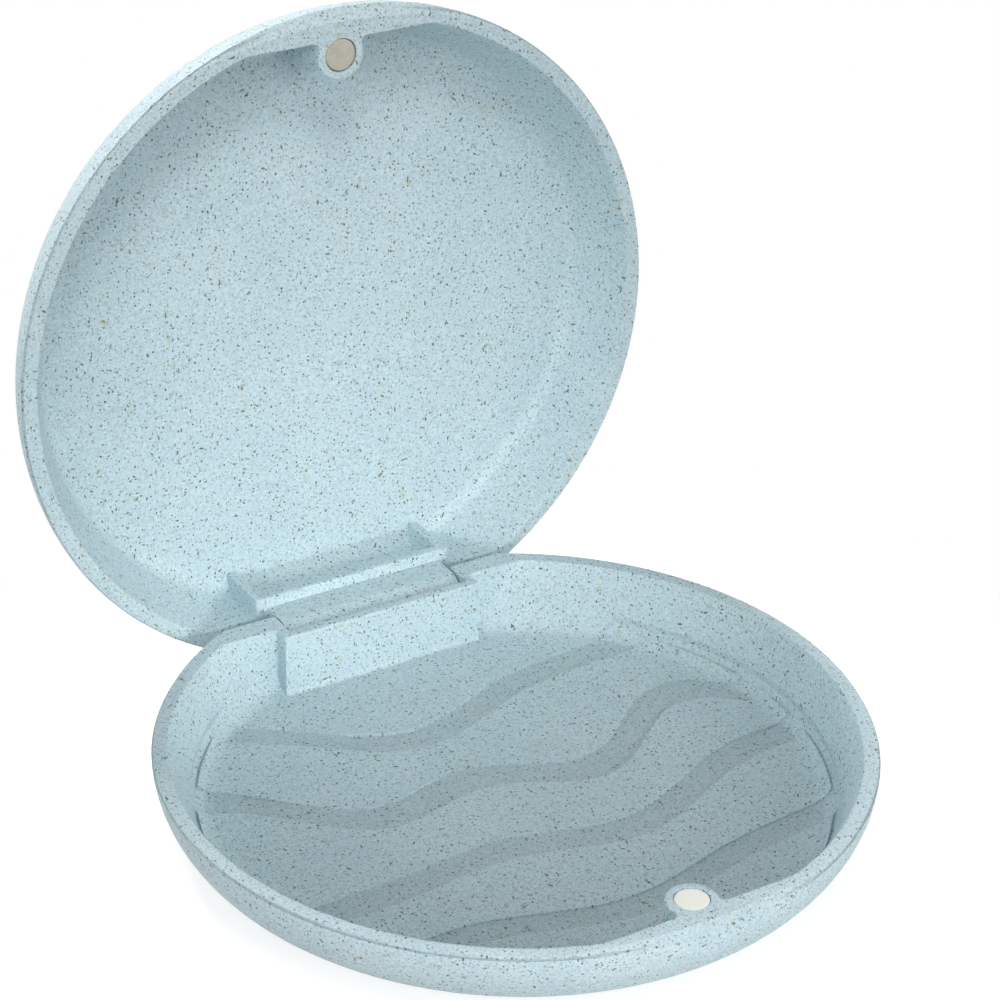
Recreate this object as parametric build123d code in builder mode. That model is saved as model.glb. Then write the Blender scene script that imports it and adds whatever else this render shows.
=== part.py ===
"""Round retainer case: a shallow base and lid, hinged at a flat back and held shut by two magnets.

All sizes are millimetres. The origin is the centre of the base's underside and +Z is up.
The hinge is at +Y, the thumb scoop at -Y. The lid stands open, as far as its stop lets it.
"""

from build123d import *
from math import cos, pi, radians, sin, sqrt
import os

# Shell sizes, shared by the base and the lid
rim_radius = 43.0
rim_width = 1.8
wall_draft = 3.6
side_round = 9.5
corner_radius = 2.5
wall_at_floor = 1.8
base_height = 10.2
lid_height = 10.2
rim_bulge = 0.15
rim_step = 0.35
rim_step_width = 0.2
rim_gap = 0.15
edge_round = 0.25

# Flat back and the thicker front of the rim
back_cut = 5.0
back_wall = 3.0
front_land_width = 3.8
back_round = 0.9
back_corner_radius = 2.0

# Thumb scoop cut into the outer edge of both rims
scoop_reach = 1.5
scoop_drop = 0.75
scoop_half_width = 18.8

# Hinge
open_angle = 91.5
pivot_from_back = 0.8
pivot_depth = 3.3
barrel_radius = 3.15
barrel_clearance = 0.2
pocket_half_width = 12.8
barrel_end_clearance = 0.35
housing_wall = 1.2
housing_foot_round = 0.6
lug_width = 4.0
lug_radius = 3.15
stop_gap = 0.05
stop_top = 0.35
stop_chamfer = 1.4
pin_radius = 0.75
pin_press = 0.01
pin_running = 0.06
pin_end_wall = 0.8
bar_depth = 1.2

# Magnets and the bosses that hold them
magnet_radius = 2.0
magnet_thickness = 2.0
magnet_side_gap = 0.1
magnet_from_front = 5.6
boss_wall = 0.95
boss_blend = 0.7
base_magnet_sink = 0.02
lid_magnet_sink = 0.15

# Wavy channels pressed into the floor of the base
channel_depth = 0.35
channel_past_floor = 1.2
end_channel_width = 0.75
swell_length = 64.0
ripple_length = 32.0
# Each channel: middle, tilt, swell, swell crest, ripple, ripple crest, half width
channels = [
    (21.7, -0.11, 5.1, -35.0, 1.2, 9.5, 2.2),
    (5.4, -0.11, 3.9, -34.5, 3.3, -2.5, 2.5),
    (-9.9, 0.08, 2.5, -23.0, 1.1, -6.0, 2.1),
    (-23.2, 0.02, 2.3, -28.0, 0.7, -16.5, 1.8),
]
wave_step = 4.0

# Sizes that follow from the ones above
inner_radius = rim_radius - rim_width
floor_radius = inner_radius - wall_draft
back_y = rim_radius - back_cut
front_land_y = front_land_width - rim_radius
pivot_y = back_y - pivot_from_back
magnet_y = magnet_from_front - rim_radius
boss_radius = magnet_radius + magnet_side_gap + boss_wall
channel_field_radius = floor_radius + channel_past_floor
island_radius = channel_field_radius - end_channel_width
cavity_depth = base_height - wall_at_floor
lid_cavity_depth = lid_height - wall_at_floor
back_inner_y = back_y - back_wall
scoop_inner = rim_radius - scoop_reach
scoop_end = sqrt(rim_radius**2 - scoop_half_width**2)
scoop_centre_y = (rim_radius**2 - scoop_inner**2) / (2 * (scoop_inner - scoop_end))
pocket_front_y = pivot_y - barrel_radius - barrel_clearance
pocket_depth = pivot_depth + barrel_radius + barrel_clearance
housing_front_y = pocket_front_y - housing_wall
housing_half_width = pocket_half_width + housing_wall
barrel_half_width = pocket_half_width - barrel_end_clearance
lug_end_x = pocket_half_width + lug_width
pin_half_length = lug_end_x - pin_end_wall
lid_pivot_depth = pivot_depth + rim_gap
open_turn = radians(open_angle)
stop_y = pivot_y + lid_pivot_depth * sin(open_turn) + (back_y - pivot_y) * cos(open_turn) - stop_gap

# Frames: in both, local +Z runs from the rim plane into the shell's depth and local +Y to the hinge
base_frame = Plane(origin=(0, 0, base_height), x_dir=(-1, 0, 0), z_dir=(0, 0, -1))
lid_shut_frame = Plane.XY.offset(base_height + rim_gap)
pivot = Vector(0, pivot_y, base_height - pivot_depth)
lid_swing = Pos(*pivot) * Rot(-open_angle, 0, 0) * Pos(*(-pivot))
lid_frame = Plane(lid_swing * lid_shut_frame.location)


def section_plane(frame, y=0):
    """Plane along the shell's depth at the given distance to the hinge: X is the radius, Y the depth."""
    return Plane(origin=frame.origin + frame.y_dir * y, x_dir=frame.x_dir, z_dir=-frame.y_dir)


def side_plane(frame, x):
    """Plane across the hinge axis: its X runs to the hinge and its Y into the depth."""
    return Plane(origin=frame.origin + frame.x_dir * x, x_dir=frame.y_dir, z_dir=frame.x_dir)


def cross_plane(frame, y):
    """Plane square to the way to the hinge, facing it."""
    return Plane(origin=frame.origin + frame.y_dir * y, x_dir=frame.x_dir, z_dir=frame.y_dir)


def depth_axis(frame, y=0):
    """Line along the shell's depth, through a point on its middle line."""
    return Axis(frame.origin + frame.y_dir * y, frame.z_dir)


def bowl_section(frame, height):
    """Half section of a shell's outside: a flat, an elliptical side and the rim plane."""
    with BuildSketch(section_plane(frame)) as section:
        with BuildLine():
            centre = (rim_radius - side_round, 0)
            side = EllipticalCenterArc(centre, side_round + rim_bulge, height, arc_size=90)
            Polyline(side @ 1, (0, height), (0, 0), side @ 0)
        make_face()
    return section.sketch


def rim_step_section(frame):
    """Section of the fine step between the rim's top face and the outer wall."""
    inside = rim_radius + rim_bulge - rim_step_width
    with BuildSketch(section_plane(frame)) as section:
        with Locations((inside, rim_step)):
            Rectangle(side_round, side_round, align=(Align.MIN, Align.MAX))
    return section.sketch


def scoop_section(frame):
    """Section of the cut that slopes the front of the rim down to its outer edge."""
    slope = scoop_drop / (scoop_reach + rim_bulge)
    start = scoop_inner + scoop_centre_y
    outside = start + side_round
    with BuildSketch(section_plane(frame, scoop_centre_y)) as section:
        with BuildLine():
            Polyline(
                (start - 1, -slope), (outside, -slope), (outside, side_round * slope), close=True
            )
        make_face()
    return section.sketch


def cavity_section(frame, depth, growth):
    """Half section of a shell's inside, grown evenly by the depth of the channels where they run."""
    lean = (inner_radius - floor_radius) / depth
    sideways = growth * sqrt(1 + lean * lean)
    top = inner_radius + sideways + lean
    bottom = floor_radius + sideways - lean * growth
    plane = section_plane(frame)
    with BuildSketch(plane) as section:
        with BuildLine():
            Polyline((0, -1), (top, -1), (bottom, depth + growth), (0, depth + growth), close=True)
        make_face()
        fillet(section.vertices().sort_by(Axis.Y)[-2:].sort_by(Axis.X)[-1], corner_radius + growth)
    return section.sketch


def bowl(frame, height):
    """Outside of a shell, with its flat back, rim step and thumb scoop."""
    with BuildPart() as body:
        revolve(bowl_section(frame, height), axis=depth_axis(frame))
        split(bisect_by=cross_plane(frame, back_y), keep=Keep.BOTTOM)
        back_face = body.faces().sort_by(Axis(frame.origin, frame.y_dir))[-1]
        fillet(back_face.edges().sort_by(Axis(frame.origin, frame.z_dir))[-1], back_round)
        revolve(rim_step_section(frame), axis=depth_axis(frame), mode=Mode.SUBTRACT)
        revolve(scoop_section(frame), axis=depth_axis(frame, scoop_centre_y), mode=Mode.SUBTRACT)
    return body.part


def cavity(frame, depth, growth=0.0):
    """Inside of a shell before anything stands in it, flat at the back and at the front land."""
    with BuildPart() as body:
        revolve(cavity_section(frame, depth, growth), axis=depth_axis(frame))
        split(bisect_by=cross_plane(frame, back_inner_y + growth), keep=Keep.BOTTOM)
        split(bisect_by=cross_plane(frame, front_land_y - growth), keep=Keep.TOP)
        back_face = body.faces().sort_by(Axis(frame.origin, frame.y_dir))[-1]
        fillet(back_face.edges().sort_by(Axis(frame.origin, frame.z_dir))[1:], back_corner_radius + growth)
    return body.part


def wave(channel, x):
    """Distance to the hinge of a channel's middle line at the given x."""
    middle, tilt, swell, swell_crest, ripple, ripple_crest, _ = channel
    long_wave = swell * cos(2 * pi * (x - swell_crest) / swell_length)
    short_wave = ripple * cos(2 * pi * (x - ripple_crest) / ripple_length)
    return middle + tilt * x + long_wave + short_wave


def wave_points(channel, side):
    """Points along one edge of a channel, past the floor at both ends."""
    half_width = channel[-1]
    count = round(2 * rim_radius / wave_step)
    xs = [rim_radius * (2 * i / count - 1) for i in range(count + 1)]
    return [(x, wave(channel, x) + side * half_width) for x in xs]


def under_edge(channel, side):
    """Everything on the floor that lies in front of one edge of a channel."""
    with BuildSketch(Plane.XY) as region:
        with BuildLine():
            edge = Spline(*wave_points(channel, side))
            front = -2 * rim_radius
            Polyline(edge @ 1, (rim_radius, front), (-rim_radius, front), edge @ 0)
        make_face()
    return region.sketch


def island(index):
    """Raised floor between one channel and the next, or in front of the last one."""
    with BuildSketch(Plane.XY) as region:
        Circle(island_radius)
        add(under_edge(channels[index], -1), mode=Mode.INTERSECT)
        if index + 1 < len(channels):
            add(under_edge(channels[index + 1], 1), mode=Mode.SUBTRACT)
    return region.sketch


def channel_prism():
    """Upright body that stands on the whole field of channels and leaves the islands free."""
    with BuildSketch(Plane.XY) as field:
        Circle(channel_field_radius)
        add(under_edge(channels[0], 1), mode=Mode.INTERSECT)
        for index in range(len(channels)):
            add(island(index), mode=Mode.SUBTRACT)
        with Locations((0, magnet_y)):
            Circle(boss_radius + 2 * boss_blend, mode=Mode.SUBTRACT)
    with BuildPart() as body:
        add(extrude(field.sketch, amount=base_height, mode=Mode.PRIVATE))
    return body.part


def post(frame, depth):
    """Round post for a magnet, from the rim plane down past the floor."""
    with BuildPart() as body:
        with BuildSketch(frame):
            with Locations((0, magnet_y)):
                Circle(boss_radius)
        extrude(amount=depth)
    return body.part


def slab(frame, half_width, y_span, depth_span):
    """Block that is even about the middle, between two distances to the hinge and two depths."""
    with BuildPart() as body:
        with BuildSketch(frame.offset(depth_span[0])):
            with Locations((0, sum(y_span) / 2)):
                Rectangle(2 * half_width, y_span[1] - y_span[0])
        extrude(amount=depth_span[1] - depth_span[0])
    return body.part


def hinge_rod(frame, depth, radius, half_length):
    """Round bar along the hinge axis."""
    with BuildPart() as body:
        with BuildSketch(side_plane(frame, -half_length)):
            with Locations((pivot_y, depth)):
                Circle(radius)
        extrude(amount=2 * half_length)
    return body.part


def lug(frame, side):
    """Lug behind the back that holds one end of the pin and stops the lid with its flat."""
    start = pocket_half_width if side > 0 else -lug_end_x
    with BuildPart() as body:
        with BuildSketch(side_plane(frame, start)):
            with Locations((pivot_y, pivot_depth)):
                Circle(lug_radius)
            with BuildLine():
                top = pivot_depth + stop_top
                low = pocket_depth
                Polyline(
                    (back_inner_y + 1, top),
                    (stop_y, top),
                    (stop_y, low - stop_chamfer),
                    (stop_y - stop_chamfer, low),
                    (back_inner_y + 1, low),
                    close=True,
                )
            make_face()
            with Locations((back_inner_y + 1, pivot_depth)):
                Rectangle(2 * side_round, 2 * side_round, align=(Align.MAX, Align.CENTER), mode=Mode.SUBTRACT)
        extrude(amount=lug_width)
    return body.part


def magnet_disc(frame, radius, top, thickness):
    """Disc about a magnet's axis."""
    with BuildPart() as body:
        with BuildSketch(frame.offset(top)):
            with Locations((0, magnet_y)):
                Circle(radius)
        extrude(amount=thickness)
    return body.part


def round_post_corners(body, frame):
    """Blend a post into the front land inside a hollow, at its two upright corners."""
    corners = body.edges().filter_by(Axis(frame.origin, frame.z_dir))
    near = corners.sort_by(Axis(frame.origin, frame.y_dir))[:2]
    fillet(near, boss_blend)


def housing_foot(body, frame, depth):
    """Edge between the front of the hinge housing and the floor."""
    middle = frame.origin + frame.y_dir * housing_front_y + frame.z_dir * depth
    return body.edges().sort_by_distance(middle)[0]


def rim_inner_edges(body, frame):
    """Edges between the rim's top face and the inside of a shell, post and housing included."""
    rim_face = body.faces().filter_by(Axis(frame.origin, frame.z_dir))
    rim_face = rim_face.sort_by(Axis(frame.origin, frame.z_dir))[0]
    return rim_face.inner_wires().sort_by(SortBy.LENGTH)[-1].edges()


# Tools for cutting the base: its inside, with the post and the hinge housing left standing
past_floor = base_height + side_round
base_post = post(base_frame, past_floor)
base_housing = slab(base_frame, housing_half_width, (housing_front_y, back_y), (0, past_floor))
base_space = cavity(base_frame, cavity_depth)
with BuildPart() as base_hollow:
    add(base_space)
    add(base_post, mode=Mode.SUBTRACT)
    round_post_corners(base_hollow, base_frame)
    add(base_housing, mode=Mode.SUBTRACT)

grown_space = cavity(base_frame, cavity_depth, channel_depth)
channel_field = channel_prism()
with BuildPart() as channel_cut:
    add(grown_space)
    add(channel_field, mode=Mode.INTERSECT)

base_bowl = bowl(base_frame, base_height)
hinge_pocket = slab(base_frame, pocket_half_width, (pocket_front_y, back_y + side_round), (-1, pocket_depth))
lugs = [lug(base_frame, side) for side in (-1, 1)]
pin_bore = hinge_rod(base_frame, pivot_depth, pin_radius + pin_press, pin_half_length)
base_magnet_pocket = magnet_disc(
    base_frame, magnet_radius + magnet_side_gap, -1, 1 + base_magnet_sink + magnet_thickness
)

# Base: bowl with the wavy floor, the housing for the hinge, two lugs and the post for a magnet
with BuildPart() as base_shell:
    add(base_bowl)
    add(base_hollow.part, mode=Mode.SUBTRACT)
    add(channel_cut.part, mode=Mode.SUBTRACT)
    add(hinge_pocket, mode=Mode.SUBTRACT)
    add(lugs)
    add(pin_bore, mode=Mode.SUBTRACT)
    add(base_magnet_pocket, mode=Mode.SUBTRACT)
    fillet(housing_foot(base_shell, base_frame, cavity_depth), housing_foot_round)
    fillet(rim_inner_edges(base_shell, base_frame), edge_round)
base_shell.part.label = "base_shell"

# Tools for cutting the lid: its inside, with the post and the bracket of the hinge left standing
lid_post = post(lid_frame, past_floor)
bracket_block = slab(lid_frame, housing_half_width, (housing_front_y, back_y), (0, past_floor))
bracket_well = slab(lid_frame, pocket_half_width, (0, back_inner_y), (bar_depth, past_floor))
with BuildPart() as bracket:
    add(bracket_block)
    add(bracket_well, mode=Mode.SUBTRACT)
lid_space = cavity(lid_frame, lid_cavity_depth)
with BuildPart() as lid_hollow:
    add(lid_space)
    add(lid_post, mode=Mode.SUBTRACT)
    round_post_corners(lid_hollow, lid_frame)
    add(bracket.part, mode=Mode.SUBTRACT)

lid_bowl = bowl(lid_frame, lid_height)
neck = slab(lid_frame, barrel_half_width, (pivot_y - barrel_radius, back_y), (-lid_pivot_depth, bar_depth))
barrel = hinge_rod(lid_frame, -lid_pivot_depth, barrel_radius, barrel_half_width)
barrel_bore = hinge_rod(lid_frame, -lid_pivot_depth, pin_radius + pin_running, barrel_half_width)
lid_magnet_pocket = magnet_disc(
    lid_frame, magnet_radius + magnet_side_gap, -1, 1 + lid_magnet_sink + magnet_thickness
)

# Lid: the same bowl, plain inside, with the bracket and barrel of the hinge and its own post
with BuildPart() as lid_shell:
    add(lid_bowl)
    add(lid_hollow.part, mode=Mode.SUBTRACT)
    add(neck)
    add(barrel)
    add(barrel_bore, mode=Mode.SUBTRACT)
    add(lid_magnet_pocket, mode=Mode.SUBTRACT)
    fillet(rim_inner_edges(lid_shell, lid_frame), edge_round)
lid_shell.part.label = "lid_shell"

# Hinge pin: a plain rod through the barrel, held at both ends in the lugs
with BuildPart() as hinge_pin:
    add(hinge_rod(base_frame, pivot_depth, pin_radius, pin_half_length))
hinge_pin.part.label = "hinge_pin"

# Magnets: two discs that meet face to face when the lid is shut
with BuildPart() as base_magnet:
    add(magnet_disc(base_frame, magnet_radius, base_magnet_sink, magnet_thickness))
base_magnet.part.label = "base_magnet"

with BuildPart() as lid_magnet:
    add(magnet_disc(lid_frame, magnet_radius, lid_magnet_sink, magnet_thickness))
lid_magnet.part.label = "lid_magnet"

os.makedirs("parts", exist_ok=True)
export_step(base_shell.part, "parts/base_shell.step")
export_step(lid_shell.part, "parts/lid_shell.step")
export_step(hinge_pin.part, "parts/hinge_pin.step")
export_step(base_magnet.part, "parts/base_magnet.step")
export_step(lid_magnet.part, "parts/lid_magnet.step")
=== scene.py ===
"""Looks of a round retainer case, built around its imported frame.

Lengths are metres in the frame's own axes: +Z is up, +Y runs to the hinge and -Y to the thumb scoop.
"""

import logging
import math
from dataclasses import dataclass
from enum import Enum
from typing import Any

import bpy
from mathutils import Matrix, Vector


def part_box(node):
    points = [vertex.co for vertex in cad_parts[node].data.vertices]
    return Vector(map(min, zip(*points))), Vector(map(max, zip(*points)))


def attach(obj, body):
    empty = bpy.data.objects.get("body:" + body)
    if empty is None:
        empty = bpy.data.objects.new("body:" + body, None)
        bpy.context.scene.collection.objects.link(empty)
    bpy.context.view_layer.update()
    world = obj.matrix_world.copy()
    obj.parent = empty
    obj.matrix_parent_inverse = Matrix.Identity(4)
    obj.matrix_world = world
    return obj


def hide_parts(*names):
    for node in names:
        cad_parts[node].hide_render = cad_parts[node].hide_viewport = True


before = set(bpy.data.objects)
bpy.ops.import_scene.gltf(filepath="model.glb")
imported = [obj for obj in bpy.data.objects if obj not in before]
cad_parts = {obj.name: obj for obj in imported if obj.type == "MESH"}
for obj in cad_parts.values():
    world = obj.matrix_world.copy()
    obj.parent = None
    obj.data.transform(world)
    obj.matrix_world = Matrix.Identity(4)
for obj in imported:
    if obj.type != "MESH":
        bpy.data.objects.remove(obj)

LOG = logging.getLogger("retainer_case")
MM = 0.001
# How far the lid stands open in the frame, in degrees, and the hinge that it turns about.
OPEN_ANGLE = 91.5
HINGE_MIDDLE = (0.0, 37.2 * MM, 6.9 * MM)
# The values that most of a noise lies between.
NOISE_RANGE = (0.3, 0.7)
Color = tuple[float, float, float, float]
Place = tuple[float, float, float]


class Half(Enum):
    """The two halves of the case, by the bodies they are."""

    BASE = "base"
    LID = "lid"


def srgb(red: int, green: int, blue: int) -> Color:
    """Linear colour from three display values.

    Args:
        red: Red, 0 to 255.
        green: Green, 0 to 255.
        blue: Blue, 0 to 255.

    Returns:
        The same colour as Blender's sockets take it.
    """
    knee, gamma = 0.04045, 2.4
    values = [channel / 255 for channel in (red, green, blue)]
    linear = [v / 12.92 if v <= knee else ((v + 0.055) / 1.055) ** gamma for v in values]
    return (linear[0], linear[1], linear[2], 1.0)


def direction(azimuth: float, elevation: float) -> Vector:
    """Unit vector from the case towards something in the studio.

    Args:
        azimuth: Degrees round from the front of the case, positive to its right.
        elevation: Degrees above the floor.

    Returns:
        The vector.
    """
    turn, rise = math.radians(azimuth), math.radians(elevation)
    return Vector((math.sin(turn) * math.cos(rise), -math.cos(turn) * math.cos(rise), math.sin(rise)))


class Wiring:
    """A node tree put together node by node."""

    def __init__(self, tree: bpy.types.NodeTree) -> None:
        """Take up a tree.

        Args:
            tree: The tree that the nodes go into.
        """
        self.tree = tree

    def node(self, kind: str, inputs: dict[str, Any] | None = None, **settings: Any) -> bpy.types.Node:
        """Add a node.

        Args:
            kind: The node's type; a shader node's is given without its prefix.
            inputs: What goes into its sockets, by name: a socket to link, or a plain value.
            settings: The node's own settings.

        Returns:
            The new node.
        """
        made = self.tree.nodes.new(kind if kind.startswith("Geometry") else "ShaderNode" + kind)
        for name, value in settings.items():
            setattr(made, name, value)
        for name, value in (inputs or {}).items():
            self.feed(made.inputs[name], value)
        return made

    def feed(self, socket: bpy.types.NodeSocket, value: Any) -> None:
        """Fill one input of a node.

        Args:
            socket: The input.
            value: A socket to link it to, or its plain value.
        """
        if isinstance(value, bpy.types.NodeSocket):
            self.tree.links.new(value, socket)
        else:
            socket.default_value = value

    def math(self, operation: str, *operands: Any) -> bpy.types.NodeSocket:
        """Add one step of arithmetic.

        Args:
            operation: Blender's name of the operation.
            operands: Sockets or numbers.

        Returns:
            The result.
        """
        made = self.node("Math", operation=operation)
        for socket, value in zip(made.inputs, operands):
            self.feed(socket, value)
        return made.outputs[0]

    def looked_at(self) -> bpy.types.NodeSocket:
        """Tell rays that look from rays that light.

        Returns:
            1 for rays from the camera, mirrored rays and rays through glass, else 0.
        """
        path = self.node("LightPath").outputs
        seen = self.math("MAXIMUM", path["Is Camera Ray"], path["Is Glossy Ray"])
        return self.math("MAXIMUM", seen, path["Is Transmission Ray"])


class Recipe(Wiring):
    """A material put together node by node."""

    def __init__(self, name: str) -> None:
        """Start an empty material.

        Args:
            name: The material's name.
        """
        self.material = bpy.data.materials.new(name)
        self.material.use_nodes = True
        super().__init__(self.material.node_tree)
        self.tree.nodes.clear()
        self.output = self.node("OutputMaterial")

    def vector_math(self, operation: str, *operands: Any) -> bpy.types.Node:
        """Add one step of vector arithmetic.

        Args:
            operation: Blender's name of the operation.
            operands: Sockets or vectors.

        Returns:
            Its node, whose result is a vector or, for a length, the output Value.
        """
        made = self.node("VectorMath", operation=operation)
        for socket, value in zip(made.inputs, operands):
            self.feed(socket, value)
        return made

    def scaled(self, vector: Any, factor: float) -> bpy.types.NodeSocket:
        """Lengthen or shorten a vector."""
        return self.vector_math("MULTIPLY", vector, (factor, factor, factor)).outputs[0]

    def ramp(
        self, value: Any, start: float, end: float, low: float = 0.0, high: float = 1.0
    ) -> bpy.types.NodeSocket:
        """Turn a value smoothly from low to high.

        Args:
            value: What is read.
            start: Where the result is low.
            end: Where it is high.
            low: Result at the start.
            high: Result at the end.

        Returns:
            The result.
        """
        inputs = {"Value": value, "From Min": start, "From Max": end, "To Min": low, "To Max": high}
        return self.node("MapRange", inputs, interpolation_type="SMOOTHSTEP").outputs["Result"]

    def mix(self, share: Any, first: Any, second: Any, blend: str = "MIX") -> bpy.types.NodeSocket:
        """Mix two colours.

        Args:
            share: How much of the second one.
            first: Colour or socket.
            second: Colour or socket.
            blend: Blender's name of the way they are mixed.

        Returns:
            The mixed colour.
        """
        made = self.node("Mix", data_type="RGBA", blend_type=blend)
        self.feed(made.inputs[0], share)
        self.feed(made.inputs[6], first)
        self.feed(made.inputs[7], second)
        return made.outputs[2]

    def shaded(self, paint: Any, level: Any) -> bpy.types.NodeSocket:
        """Scale a colour by a level, 1 for no change."""
        grey = self.node("CombineColor", {"Red": level, "Green": level, "Blue": level})
        return self.mix(1.0, paint, grey.outputs[0], "MULTIPLY")

    def place(self, shift: Place = (0.0, 0.0, 0.0)) -> bpy.types.NodeSocket:
        """Coordinates on the piece itself, in metres.

        Args:
            shift: How far the pattern is shifted.

        Returns:
            The coordinates.
        """
        where = self.node("TexCoord").outputs["Object"]
        return self.node("Mapping", {"Vector": where, "Location": shift}).outputs["Vector"]

    def noise(
        self, where: Any, size: float, detail: float = 2.0, roughness: float = 0.5
    ) -> bpy.types.Node:
        """Add noise whose lumps are about the given size in metres."""
        inputs = {"Vector": where, "Scale": 1 / size, "Detail": detail, "Roughness": roughness}
        return self.node("TexNoise", inputs)

    def bump(self, height: Any, depth: float) -> bpy.types.NodeSocket:
        """Turn a height from 0 to 1 into a bumped normal, depth metres high."""
        return self.node("Bump", {"Height": height, "Distance": depth, "Strength": 1.0}).outputs["Normal"]

    def finish(self, shader: bpy.types.Node) -> bpy.types.Material:
        """Send a shader to the surface and return the material."""
        self.tree.links.new(shader.outputs[0], self.output.inputs["Surface"])
        return self.material


@dataclass(frozen=True)
class FleckSort:
    """One sort of fleck, scattered through the plastic.

    Attributes:
        spacing: Mean distance between the places where one may lie.
        length: Half its length.
        width: Half its width.
        share: Share of the places that hold one.
        color: Its colour.
        strength: How far it covers the plastic.
        edge: Share of its half width over which it fades out.
        shift: How far its pattern is shifted, so that no two sorts meet.
        ripple: Size of the ripples in its outline, as a share of its width.
        waver: How far they bend it, as a share of its width.
        growth: Least and greatest size, as a share of the usual one.
    """

    spacing: float
    length: float
    width: float
    share: float
    color: Color
    strength: float
    edge: float
    shift: Place
    ripple: float = 1.8
    waver: float = 1.3
    growth: tuple[float, float] = (0.65, 1.3)

    def mask(self, recipe: Recipe) -> bpy.types.NodeSocket:
        """Where these flecks show.

        Args:
            recipe: The material they go into.

        Returns:
            1 on a fleck and 0 beside it.
        """
        where = recipe.place(self.shift)
        wobble = recipe.noise(where, self.width * self.ripple, detail=1.0).outputs["Color"]
        centred = recipe.vector_math("SUBTRACT", wobble, (0.5, 0.5, 0.5)).outputs[0]
        bend = recipe.scaled(centred, self.width * self.waver)
        bent = recipe.vector_math("ADD", where, bend).outputs[0]
        cells = recipe.node("TexVoronoi", {"Vector": bent, "Scale": 1 / self.spacing}, feature="F1")
        middle = cells.outputs["Position"]
        away = recipe.vector_math("SUBTRACT", bent, middle).outputs[0]
        chance = recipe.node("TexWhiteNoise", {"Vector": middle}, noise_dimensions="3D")
        turn = recipe.scaled(chance.outputs["Color"], math.tau)
        rotation = {"Vector": away, "Rotation": turn}
        turned = recipe.node("VectorRotate", rotation, rotation_type="EULER_XYZ")
        shape = (1 / self.length, 1 / self.width, 1 / self.width)
        scaled = recipe.vector_math("MULTIPLY", turned.outputs[0], shape).outputs[0]
        reach = recipe.vector_math("LENGTH", scaled).outputs["Value"]
        size = recipe.node("SeparateColor", {"Color": cells.outputs["Color"]}).outputs["Red"]
        grown = recipe.math("DIVIDE", reach, recipe.ramp(size, 0.0, 1.0, *self.growth))
        inside = recipe.ramp(grown, 1.0, 1.0 - self.edge)
        chosen = recipe.math("LESS_THAN", chance.outputs["Value"], self.share)
        return recipe.math("MULTIPLY", inside, chosen)


@dataclass(frozen=True)
class FloorChannels:
    """The wavy channels, told from the rest of the base by how deep they lie, and a little darker: a
    darker finish in them, and painted shade on their walls where the light catches them.

    Attributes:
        floor_height: Height of the floor between them.
        depth: How deep they are.
        reach: How far from the middle they end.
        level: How bright they are beside the floor.
        fade: Depths between which they darken, as shares of their own.
        lowest: Depth below which nothing belongs to them, as a share of their own.
        steepest: Z of the normal below which a face looks down and doesn't belong to them; the walls
            above it take the painted shade.
    """

    floor_height: float = 1.8 * MM
    depth: float = 0.35 * MM
    reach: float = 39.2 * MM
    level: float = 0.86
    fade: tuple[float, float] = (0.02, 0.4)
    lowest: float = 1.6
    steepest: float = -0.3

    def shade(self, recipe: Recipe, paint: Any) -> bpy.types.NodeSocket:
        """Darken a colour in the channels, for their darker finish and as painted shade on their walls.

        Args:
            recipe: The base's material.
            paint: The colour outside them.

        Returns:
            The colour with the channels in it.
        """
        corner = recipe.node("TexCoord")
        spot = recipe.node("SeparateXYZ", {"Vector": corner.outputs["Object"]})
        facing = recipe.node("SeparateXYZ", {"Vector": corner.outputs["Normal"]})
        height = spot.outputs["Z"]
        start, end = (self.floor_height - share * self.depth for share in self.fade)
        sunk = recipe.ramp(height, start, end)
        inner = recipe.math("GREATER_THAN", height, self.floor_height - self.lowest * self.depth)
        flat = recipe.node("CombineXYZ", {"X": spot.outputs["X"], "Y": spot.outputs["Y"]}).outputs[0]
        near = recipe.math("LESS_THAN", recipe.vector_math("LENGTH", flat).outputs["Value"], self.reach)
        # Walls facing sideways count too, so that painted shade dims the channel walls where the lamps
        # catch them.
        upward = recipe.math("GREATER_THAN", facing.outputs["Z"], self.steepest)
        inside = recipe.math("MULTIPLY", inner, near)
        here = recipe.math("MULTIPLY", inside, recipe.math("MULTIPLY", sunk, upward))
        return recipe.shaded(paint, recipe.ramp(here, 0.0, 1.0, 1.0, self.level))


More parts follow.
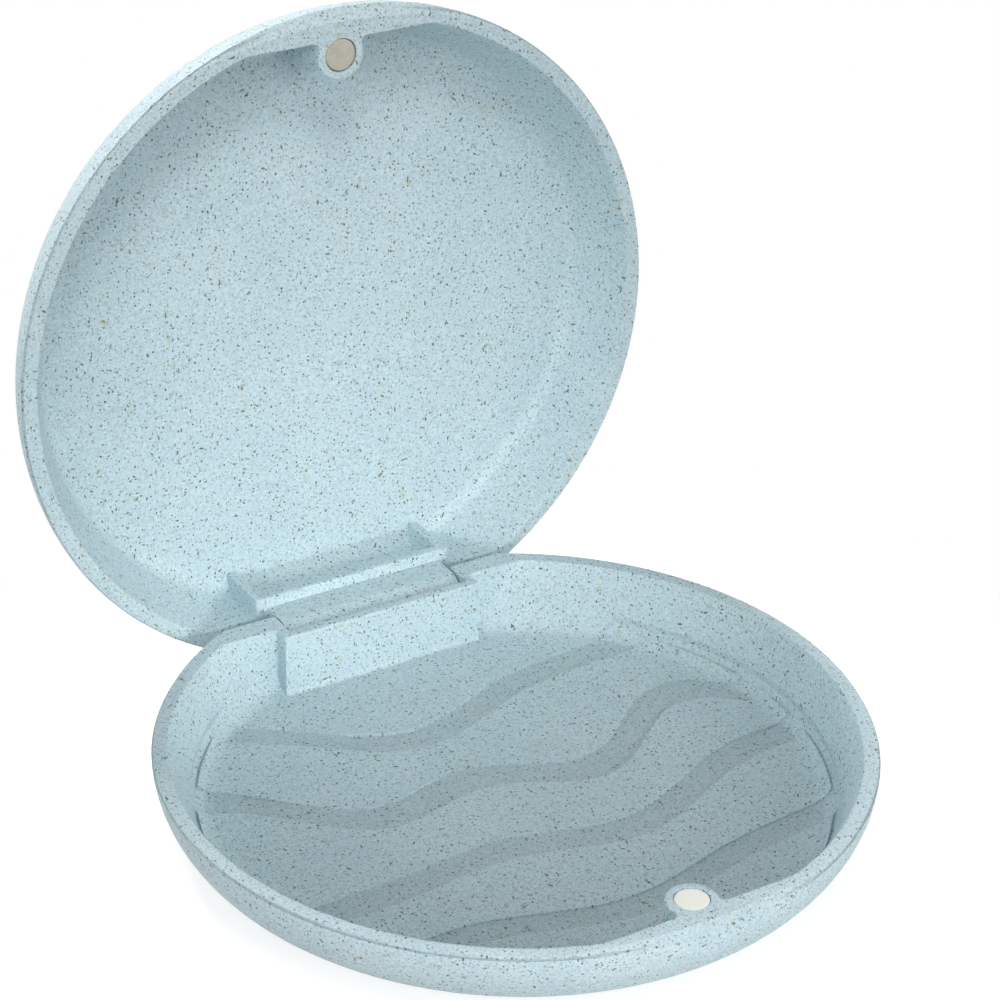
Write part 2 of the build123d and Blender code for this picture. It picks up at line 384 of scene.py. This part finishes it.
@dataclass(frozen=True)
class RimCreaseShade:
    """The fine step outside each rim, with painted shade along it where the crease would fall into
    shadow.

    Attributes:
        parting: Height at which the two halves meet when shut.
        depth: How far from there the step lies.
        width: How far the painted shade reaches from the middle of the step.
        core: Share of that width that is darkest.
        radius: How far from the middle of the case it begins.
        level: How bright the painted shade is beside the plastic.
    """

    parting: float = 10.275 * MM
    depth: float = 0.36 * MM
    width: float = 0.17 * MM
    core: float = 0.3
    radius: float = 42.6 * MM
    level: float = 0.78

    def shade(self, recipe: Recipe, paint: Any, half: Half) -> bpy.types.NodeSocket:
        """Darken a colour along the step with painted shade.

        Args:
            recipe: The shell's material.
            paint: The colour elsewhere.
            half: The half it belongs to; the lid is read as if it were shut.

        Returns:
            The colour with the line in it.
        """
        where = recipe.place()
        if half is Half.LID:
            inputs = {"Vector": where, "Center": HINGE_MIDDLE, "Angle": math.radians(OPEN_ANGLE)}
            where = recipe.node("VectorRotate", inputs, rotation_type="X_AXIS").outputs[0]
        spot = recipe.node("SeparateXYZ", {"Vector": where})
        away = recipe.math("ABSOLUTE", recipe.math("SUBTRACT", spot.outputs["Z"], self.parting))
        off = recipe.math("ABSOLUTE", recipe.math("SUBTRACT", away, self.depth))
        # Painted shade: a dark line along the step under each rim.
        line = recipe.ramp(off, self.width, self.core * self.width)
        flat = recipe.node("CombineXYZ", {"X": spot.outputs["X"], "Y": spot.outputs["Y"]}).outputs[0]
        out = recipe.vector_math("LENGTH", flat).outputs["Value"]
        here = recipe.math("MULTIPLY", line, recipe.math("GREATER_THAN", out, self.radius))
        return recipe.shaded(paint, recipe.ramp(here, 0.0, 1.0, 1.0, self.level))


@dataclass(frozen=True)
class SpeckledPlastic:
    """Matte pale blue plastic with olive flecks, moulded with a fine satin grain.

    Attributes:
        color: Its colour.
        deep_color: Its colour in the deeper clouds.
        roughness: Least and greatest roughness.
        mottle: Darkest and lightest grain, as levels of the colour.
        crease_shade: The painted shade along the step under its rim.
        cloud_size: Size of the clouds in its colour.
        grain_size: Size of its grain.
        satin_size: Size of the patches that differ in roughness.
        relief_size: Size of the bumps in its skin.
        relief_depth: How high they are.
        cloud_range: Noise values between which a cloud turns deep.
        flecks: The sorts of fleck in it.
    """

    color: Color = srgb(199, 220, 226)
    deep_color: Color = srgb(195, 217, 224)
    roughness: tuple[float, float] = (0.5, 0.62)
    mottle: tuple[float, float] = (0.83, 1.15)
    crease_shade: RimCreaseShade = RimCreaseShade()
    cloud_size: float = 9 * MM
    grain_size: float = 0.34 * MM
    satin_size: float = 0.7 * MM
    relief_size: float = 0.2 * MM
    relief_depth: float = 0.006 * MM
    cloud_range: tuple[float, float] = (0.35, 0.65)
    flecks: tuple[FleckSort, ...] = (
        FleckSort(
            0.40 * MM, 0.15 * MM, 0.12 * MM, 0.90, srgb(124, 146, 144), 0.70, 0.5, (0.031, 0.012, 0.020)
        ),
        FleckSort(
            2.00 * MM, 0.62 * MM, 0.42 * MM, 0.70, srgb(180, 188, 160), 0.52, 0.9, (0.070, 0.021, 0.080)
        ),
        FleckSort(
            1.40 * MM, 0.40 * MM, 0.17 * MM, 0.62, srgb(134, 126, 88), 0.85, 0.5, (0.023, 0.033, 0.050)
        ),
        FleckSort(
            1.15 * MM, 0.40 * MM, 0.12 * MM, 0.68, srgb(86, 94, 76), 0.95, 0.4, (0.013, 0.041, 0.010)
        ),
        FleckSort(
            0.68 * MM, 0.18 * MM, 0.12 * MM, 0.78, srgb(80, 92, 78), 0.95, 0.4, (0.053, 0.007, 0.044)
        ),
    )

    def material(self, half: Half, channels: FloorChannels | None = None) -> bpy.types.Material:
        """Make the finished material.

        Args:
            half: The half that it is for.
            channels: The channels, on the half that has them.

        Returns:
            The material.
        """
        recipe = Recipe("speckled_plastic_" + half.value)
        where = recipe.place()
        cloud = recipe.noise(where, self.cloud_size, detail=3.0).outputs["Fac"]
        paint = recipe.mix(recipe.ramp(cloud, *self.cloud_range), self.color, self.deep_color)
        grain = recipe.noise(where, self.grain_size, detail=3.0, roughness=0.8).outputs["Fac"]
        paint = recipe.shaded(paint, recipe.ramp(grain, *NOISE_RANGE, *self.mottle))
        if channels:
            paint = channels.shade(recipe, paint)
        # Painted shade along the step under the rim.
        paint = self.crease_shade.shade(recipe, paint, half)
        relief = recipe.noise(where, self.relief_size, detail=3.0, roughness=0.6).outputs["Fac"]
        for sort in self.flecks:
            share = recipe.math("MULTIPLY", sort.mask(recipe), sort.strength)
            paint = recipe.mix(share, paint, sort.color)
        satin = recipe.noise(where, self.satin_size, detail=2.0).outputs["Fac"]
        inputs = {
            "Base Color": paint,
            "Roughness": recipe.ramp(satin, *NOISE_RANGE, *self.roughness),
            "Normal": recipe.bump(relief, self.relief_depth),
        }
        return recipe.finish(recipe.node("BsdfPrincipled", inputs))


@dataclass(frozen=True)
class MetalFinish:
    """Plated or drawn metal, cloudy from wear and rubbed lighter or darker in places.

    Attributes:
        name: The material's name.
        color: Its colour.
        worn_color: Its colour where it is worn.
        roughness: Least and greatest roughness.
        metallic: How far it is bare metal rather than pale plating.
        relief: How high the bumps in its skin are.
        grain: How the patterns are drawn out, as a scale for each axis.
        cloud_size: Size of the worn places.
        skin_size: Size of the bumps in its skin.
    """

    name: str
    color: Color
    worn_color: Color
    roughness: tuple[float, float]
    metallic: float
    relief: float = 0.002 * MM
    grain: Place = (1.0, 1.0, 1.0)
    cloud_size: float = 0.9 * MM
    skin_size: float = 0.16 * MM

    def material(self) -> bpy.types.Material:
        """Make the finished material.

        Returns:
            The material.
        """
        recipe = Recipe(self.name)
        where = recipe.vector_math("MULTIPLY", recipe.place(), self.grain).outputs[0]
        cloud = recipe.noise(where, self.cloud_size, detail=4.0).outputs["Fac"]
        skin = recipe.noise(where, self.skin_size, detail=3.0).outputs["Fac"]
        inputs = {
            "Base Color": recipe.mix(recipe.ramp(cloud, *NOISE_RANGE), self.color, self.worn_color),
            "Roughness": recipe.ramp(cloud, *NOISE_RANGE, *self.roughness),
            "Metallic": self.metallic,
            "Normal": recipe.bump(skin, self.relief),
        }
        return recipe.finish(recipe.node("BsdfPrincipled", inputs))


class RoundStock(Wiring):
    """Geometry Nodes tree that turns round pieces with rounded edges, such as discs and rods.

    Attributes:
        SEGMENTS: Steps round the axis.
        EDGE_STEPS: Steps round an edge.
        BORE: Radius of the circle that the section is swept round, closed again by the merge.
        CORNERS: Points of the section before its edges are rounded.
        SHELF: How far in from an edge the next point lies, as a share of the edge's radius.
        MERGE: Distance at which points are merged, as a share of the bore's radius.
    """

    SEGMENTS = 96
    EDGE_STEPS = 6
    BORE = 0.01 * MM
    CORNERS = 6
    SHELF = 1.8
    MERGE = 2.2

    def __init__(self) -> None:
        """Build the tree."""
        super().__init__(bpy.data.node_groups.new("round_stock", "GeometryNodeTree"))
        self.names: dict[str, str] = {}
        for name in ("Radius", "Length", "Edge"):
            self.add_input(name, "NodeSocketFloat")
        self.add_input("Turn", "NodeSocketVector")
        self.add_input("Middle", "NodeSocketVector")
        self.add_input("Finish", "NodeSocketMaterial")
        self.tree.interface.new_socket(name="Geometry", in_out="OUTPUT", socket_type="NodeSocketGeometry")
        self.given = self.tree.nodes.new("NodeGroupInput")
        self.wire()

    def add_input(self, name: str, kind: str) -> None:
        """Give the tree a named input and keep its identifier."""
        made = self.tree.interface.new_socket(name=name, in_out="INPUT", socket_type=kind)
        self.names[name] = made.identifier

    def profile(self) -> bpy.types.NodeSocket:
        """Half the section: along one face from the axis, up the side and back along the other face.

        Returns:
            The section's curve, with its two corners rounded.
        """
        radius, length, edge = (self.given.outputs[name] for name in ("Radius", "Length", "Edge"))
        line = self.node("GeometryNodeMeshLine", {"Count": self.CORNERS})
        half_way = (self.CORNERS - 1) / 2
        curve = self.node("GeometryNodeMeshToCurve", {"Mesh": line.outputs[0]})
        index = self.node("GeometryNodeInputIndex").outputs[0]
        from_middle = self.math("ABSOLUTE", self.math("SUBTRACT", index, half_way))
        step = self.math("MULTIPLY", edge, self.SHELF)
        shelf = self.math("MULTIPLY", self.math("SUBTRACT", from_middle, 0.5), step)
        off_axis = self.math("LESS_THAN", from_middle, half_way - 0.5)
        outer = self.math("SUBTRACT", radius, self.BORE)
        out = self.math("MULTIPLY", self.math("SUBTRACT", outer, shelf), off_axis)
        raised = self.math("SUBTRACT", self.math("GREATER_THAN", index, half_way), 0.5)
        spot = self.node("CombineXYZ", {"X": out, "Y": self.math("MULTIPLY", length, raised)})
        corners = {"Geometry": curve.outputs[0], "Position": spot.outputs[0]}
        placed = self.node("GeometryNodeSetPosition", corners)
        rounding = {"Curve": placed.outputs[0], "Count": self.EDGE_STEPS, "Radius": edge}
        return self.node("GeometryNodeFilletCurve", rounding, mode="POLY").outputs[0]

    def wire(self) -> None:
        """Turn the section round the axis, set the piece in its place and give it its finish."""
        circle = {"Resolution": self.SEGMENTS, "Radius": self.BORE}
        axis = self.node("GeometryNodeCurvePrimitiveCircle", circle)
        swept = {"Curve": axis.outputs[0], "Profile Curve": self.profile()}
        turned = self.node("GeometryNodeCurveToMesh", swept)
        merged = {"Geometry": turned.outputs[0], "Distance": self.MERGE * self.BORE}
        closed = self.node("GeometryNodeMergeByDistance", merged)
        smooth = self.node("GeometryNodeSetShadeSmooth", {"Geometry": closed.outputs[0]})
        moved = {
            "Geometry": smooth.outputs[0],
            "Rotation": self.given.outputs["Turn"],
            "Translation": self.given.outputs["Middle"],
        }
        placed = self.node("GeometryNodeTransform", moved)
        real = self.node("GeometryNodeRealizeInstances", {"Geometry": placed.outputs[0]})
        dressed = {"Geometry": real.outputs[0], "Material": self.given.outputs["Finish"]}
        done = self.node("GeometryNodeSetMaterial", dressed)
        output = self.tree.nodes.new("NodeGroupOutput")
        self.tree.links.new(done.outputs[0], output.inputs[0])

    def make(self, name: str, values: dict[str, Any]) -> bpy.types.Object:
        """Make one piece as a plain mesh.

        Args:
            name: The piece's name.
            values: The tree's inputs, by name.

        Returns:
            The piece.
        """
        piece = bpy.data.objects.new(name, bpy.data.meshes.new(name + "_start"))
        bpy.context.scene.collection.objects.link(piece)
        modifier = piece.modifiers.new("stock", "NODES")
        modifier.node_group = self.tree
        for key, value in values.items():
            modifier[self.names[key]] = value
        view = bpy.context.evaluated_depsgraph_get()
        mesh = bpy.data.meshes.new_from_object(piece.evaluated_get(view), depsgraph=view)
        piece.modifiers.remove(modifier)
        mesh.name = name
        piece.data = mesh
        LOG.info("turned %s: %d faces", name, len(mesh.polygons))
        return piece


@dataclass(frozen=True)
class Magnet:
    """A plated disc magnet, in the place of the frame's node of the same name.

    Attributes:
        half: The half that holds it.
        finish: Its plating.
        slot: Name of its material slot in the record; not used.
        tilt: Degrees that its axis is turned about X.
        radius: Its radius.
        thickness: Its thickness.
        edge: Radius of its rounded edges.
    """

    half: Half
    finish: MetalFinish
    slot: str
    tilt: float = 0.0
    radius: float = 2.0 * MM
    thickness: float = 2.0 * MM
    edge: float = 0.16 * MM

    def build(self, stock: RoundStock) -> bpy.types.Object:
        """Make the disc and let it ride on its half.

        Args:
            stock: The tree that turns it.

        Returns:
            The disc.
        """
        node = self.half.value + "_magnet"
        middle = (Vector(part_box(node)[0]) + Vector(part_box(node)[1])) / 2
        values = {
            "Radius": self.radius,
            "Length": self.thickness,
            "Edge": self.edge,
            "Turn": (math.radians(self.tilt), 0.0, 0.0),
            "Middle": tuple(middle),
            "Finish": self.finish.material(),
        }
        disc = stock.make(self.half.value + "_magnet_disc", values)
        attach(disc, self.half.value)
        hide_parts(node)
        return disc


@dataclass(frozen=True)
class HingePin:
    """The steel rod through the barrel, in the place of the frame's pin.

    Attributes:
        finish: Its steel.
        radius: Its radius.
        edge: Radius of its rounded ends.
        slot: Name of its material slot in the record; not used.
    """

    finish: MetalFinish
    radius: float = 0.75 * MM
    edge: float = 0.2 * MM
    slot: str = "pin_steel"

    def build(self, stock: RoundStock) -> bpy.types.Object:
        """Make the rod and let it ride on the base.

        Args:
            stock: The tree that turns it.

        Returns:
            The rod.
        """
        low, high = (Vector(corner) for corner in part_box("hinge_pin"))
        values = {
            "Radius": self.radius,
            "Length": (high - low).x,
            "Edge": self.edge,
            "Turn": (0.0, math.radians(90.0), 0.0),
            "Middle": tuple((low + high) / 2),
            "Finish": self.finish.material(),
        }
        rod = stock.make("hinge_pin_rod", values)
        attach(rod, Half.BASE.value)
        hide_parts("hinge_pin")
        return rod


@dataclass(frozen=True)
class Shell:
    """One moulded half, whose shape is the frame's own.

    Attributes:
        half: Which half it is.
        plastic: What it is moulded from.
        channels: The channels in its floor, if it has them.
    """

    half: Half
    plastic: SpeckledPlastic = SpeckledPlastic()
    channels: FloorChannels | None = None

    def dress(self) -> None:
        """Give the shell its finish."""
        node = self.half.value + "_shell"
        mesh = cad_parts[node].data
        mesh.materials.clear()
        mesh.materials.append(self.plastic.material(self.half, self.channels))
        LOG.info("dressed %s: %d faces", node, len(mesh.polygons))


@dataclass(frozen=True)
class Base:
    """The lower half: the shell with the channelled floor, its magnet and the hinge's pin."""

    shell: Shell = Shell(Half.BASE, channels=FloorChannels())
    magnet: Magnet = Magnet(
        Half.BASE,
        MetalFinish("bright_plating", srgb(252, 254, 247), srgb(250, 250, 238), (0.28, 0.4), 0.05),
        "magnet_plating_bright",
    )
    pin: HingePin = HingePin(
        MetalFinish(
            "drawn_steel",
            srgb(190, 190, 188),
            srgb(160, 160, 158),
            (0.25, 0.4),
            1.0,
            relief=0.004 * MM,
            grain=(0.1, 1.0, 1.0),
        )
    )

    def build(self, stock: RoundStock) -> None:
        """Dress the shell and make the turned pieces.

        Args:
            stock: The tree that turns them.
        """
        self.shell.dress()
        self.magnet.build(stock)
        self.pin.build(stock)


@dataclass(frozen=True)
class Lid:
    """The upper half: the plain shell and its magnet, turned back by the hinge."""

    shell: Shell = Shell(Half.LID)
    magnet: Magnet = Magnet(
        Half.LID,
        MetalFinish("dull_plating", srgb(186, 183, 172), srgb(175, 171, 158), (0.35, 0.5), 0.6),
        "magnet_plating_dull",
        tilt=-OPEN_ANGLE,
    )

    def build(self, stock: RoundStock) -> None:
        """Dress the shell and make its magnet.

        Args:
            stock: The tree that turns it.
        """
        self.shell.dress()
        self.magnet.build(stock)


@dataclass(frozen=True)
class Viewpoint:
    """The camera, as angles and distances from what it looks at.

    Attributes:
        azimuth: Degrees round from the front of the case.
        elevation: Degrees above the floor.
        roll: Degrees that it is turned about its own axis.
        distance: How far it stands from what it looks at.
        target: What it looks at.
        lens: Its focal length in millimetres.
        sensor: Its sensor's width in millimetres.
        nearest: How near it still sees.
    """

    azimuth: float = -31.248
    elevation: float = 29.017
    roll: float = 1.04
    distance: float = 339.67 * MM
    target: Place = (-1.909 * MM, 1.533 * MM, 41.807 * MM)
    lens: float = 107.42
    sensor: float = 36.0
    nearest: float = 10 * MM

    def place(self) -> bpy.types.Object:
        """Make the camera and hand it to the scene.

        Returns:
            The camera.
        """
        turn, tilt = math.radians(self.azimuth), math.radians(self.roll)
        back = direction(self.azimuth, self.elevation)
        level = Vector((math.cos(turn), math.sin(turn), 0.0))
        upright = back.cross(level)
        right = level * math.cos(tilt) + upright * math.sin(tilt)
        up = upright * math.cos(tilt) - level * math.sin(tilt)
        data = bpy.data.cameras.new("camera")
        data.lens = self.lens
        data.sensor_width = self.sensor
        data.clip_start = self.nearest
        camera = bpy.data.objects.new("camera", data)
        bpy.context.scene.collection.objects.link(camera)
        turned = Matrix((right, up, back)).transposed().to_4x4()
        spot = Vector(self.target) + back * self.distance
        camera.matrix_world = Matrix.Translation(spot) @ turned
        bpy.context.scene.camera = camera
        return camera


@dataclass(frozen=True)
class Softbox:
    """A square lamp that looks at the case.

    Attributes:
        name: Its name.
        azimuth: Degrees round from the front of the case.
        elevation: Degrees above the floor.
        size: Length of a side.
        power: Its power in watts.
        spread: Degrees over which its face sends light, less where it has a grid.
        distance: How far it stands from what it looks at.
        aim: What it looks at.
    """

    name: str
    azimuth: float
    elevation: float
    size: float
    power: float
    spread: float = 180.0
    distance: float = 0.7
    aim: Place = (0.0, 0.02, 0.03)

    def place(self) -> bpy.types.Object:
        """Make the lamp.

        Returns:
            The lamp.
        """
        back = direction(self.azimuth, self.elevation)
        data = bpy.data.lights.new(self.name, "AREA")
        data.size = self.size
        data.energy = self.power
        data.spread = math.radians(self.spread)
        lamp = bpy.data.objects.new(self.name, data)
        lamp.visible_camera = False
        bpy.context.scene.collection.objects.link(lamp)
        lamp.rotation_mode = "QUATERNION"
        lamp.rotation_quaternion = back.to_track_quat("Z", "Y")
        lamp.location = Vector(self.aim) + back * self.distance
        return lamp


@dataclass(frozen=True)
class Studio:
    """Plain pale floor, white surroundings and soft light.

    Attributes:
        floor_size: Length of the floor's sides.
        floor_color: The floor's colour.
        floor_lift: Light added to the floor near the case where it is looked at.
        shadow_reach: Distances from the middle between which the shadow fades into white.
        ambient: Level of the even light from all round.
        lamps: The lamps.
    """

    floor_size: float = 6.0
    floor_color: Color = (0.5, 0.505, 0.51, 1.0)
    floor_lift: float = 0.74
    shadow_reach: tuple[float, float] = (0.046, 0.085)
    ambient: float = 0.2
    lamps: tuple[Softbox, ...] = (
        Softbox("left_light", -85.0, 8.0, 0.45, 1.15),
        Softbox("right_light", 50.0, 25.0, 0.45, 0.92),
        Softbox("high_light", -20.0, 60.0, 0.15, 0.9),
        Softbox("back_light", 180.0, 45.0, 0.2, 0.3, aim=(0.0, 0.0, 0.03)),
        Softbox("edge_light", 180.0, 42.0, 0.2, 0.088, spread=12.0, aim=(0.0, -0.035, 0.01)),
        Softbox("front_light", 10.0, 20.0, 0.2, 0.0195, spread=22.0, aim=(0.0, 0.04, 0.035)),
        Softbox("corner_light", -45.0, 20.0, 0.2, 0.0160, spread=22.0, aim=(0.0, 0.04, 0.035)),
        Softbox(
            "wall_light", 0.0, 8.0, 0.08, 0.0100, spread=16.0, distance=0.35, aim=(-0.012, -0.04, 0.005)
        ),
        Softbox(
            "side_rim_light", -60.0, 20.0, 0.06, 0.0020,
            spread=14.0, distance=0.3, aim=(-0.034, 0.043, 0.062),
        ),
        Softbox(
            "top_rim_light", -25.0, 55.0, 0.06, 0.0013,
            spread=14.0, distance=0.3, aim=(-0.004, 0.043, 0.084),
        ),
    )

    def build(self) -> None:
        """Make the floor, the lamps and the world."""
        self.lay_floor()
        for lamp in self.lamps:
            lamp.place()
            LOG.info("placed %s", lamp.name)
        self.fill_world()
        bpy.context.scene.view_settings.view_transform = "Standard"

    def paper(self) -> bpy.types.Material:
        """The floor's paper: pale where it takes light, and white where it is looked at.

        Returns:
            The material, which keeps the shadow near the case.
        """
        recipe = Recipe("floor_paper")
        away = recipe.vector_math("LENGTH", recipe.place()).outputs["Value"]
        far = recipe.ramp(away, *self.shadow_reach)
        lit = recipe.node("BsdfDiffuse", {"Color": self.floor_color})
        lift = recipe.node("Emission", {"Strength": self.floor_lift})
        near = recipe.node("AddShader")
        recipe.feed(near.inputs[0], lit.outputs[0])
        recipe.feed(near.inputs[1], lift.outputs[0])
        shown = recipe.node("MixShader", {"Fac": far})
        recipe.feed(shown.inputs[1], near.outputs[0])
        recipe.feed(shown.inputs[2], recipe.node("Emission", {"Strength": 1.0}).outputs[0])
        paper = recipe.node("MixShader", {"Fac": recipe.looked_at()})
        recipe.feed(paper.inputs[1], lit.outputs[0])
        recipe.feed(paper.inputs[2], shown.outputs[0])
        return recipe.finish(paper)

    def lay_floor(self) -> None:
        """Make the floor that the case stands on."""
        half = self.floor_size / 2
        mesh = bpy.data.meshes.new("floor")
        corners = [(-half, -half, 0), (half, -half, 0), (half, half, 0), (-half, half, 0)]
        mesh.from_pydata(corners, [], [(0, 1, 2, 3)])
        floor = bpy.data.objects.new("floor", mesh)
        bpy.context.scene.collection.objects.link(floor)
        paper = self.paper()
        paper.cycles.emission_sampling = "NONE"
        mesh.materials.append(paper)

    def fill_world(self) -> None:
        """Give the world its even light, and plain white where it is looked at."""
        world = bpy.data.worlds.new("studio")
        world.cycles.sampling_method = "NONE"
        world.use_nodes = True
        world.node_tree.nodes.clear()
        wiring = Wiring(world.node_tree)
        level = wiring.node("Mix")
        wiring.feed(level.inputs[0], wiring.looked_at())
        wiring.feed(level.inputs[2], self.ambient)
        wiring.feed(level.inputs[3], 1.0)
        white = {"Color": (1.0, 1.0, 1.0, 1.0), "Strength": level.outputs[0]}
        wiring.node("OutputWorld", {"Surface": wiring.node("Background", white).outputs[0]})
        bpy.context.scene.world = world


def main() -> None:
    """Build the scene around the frame."""
    logging.basicConfig(level=logging.INFO)
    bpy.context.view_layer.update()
    Viewpoint().place()
    Studio().build()
    stock = RoundStock()
    Base().build(stock)
    Lid().build(stock)


if __name__ == "__main__":
    main()
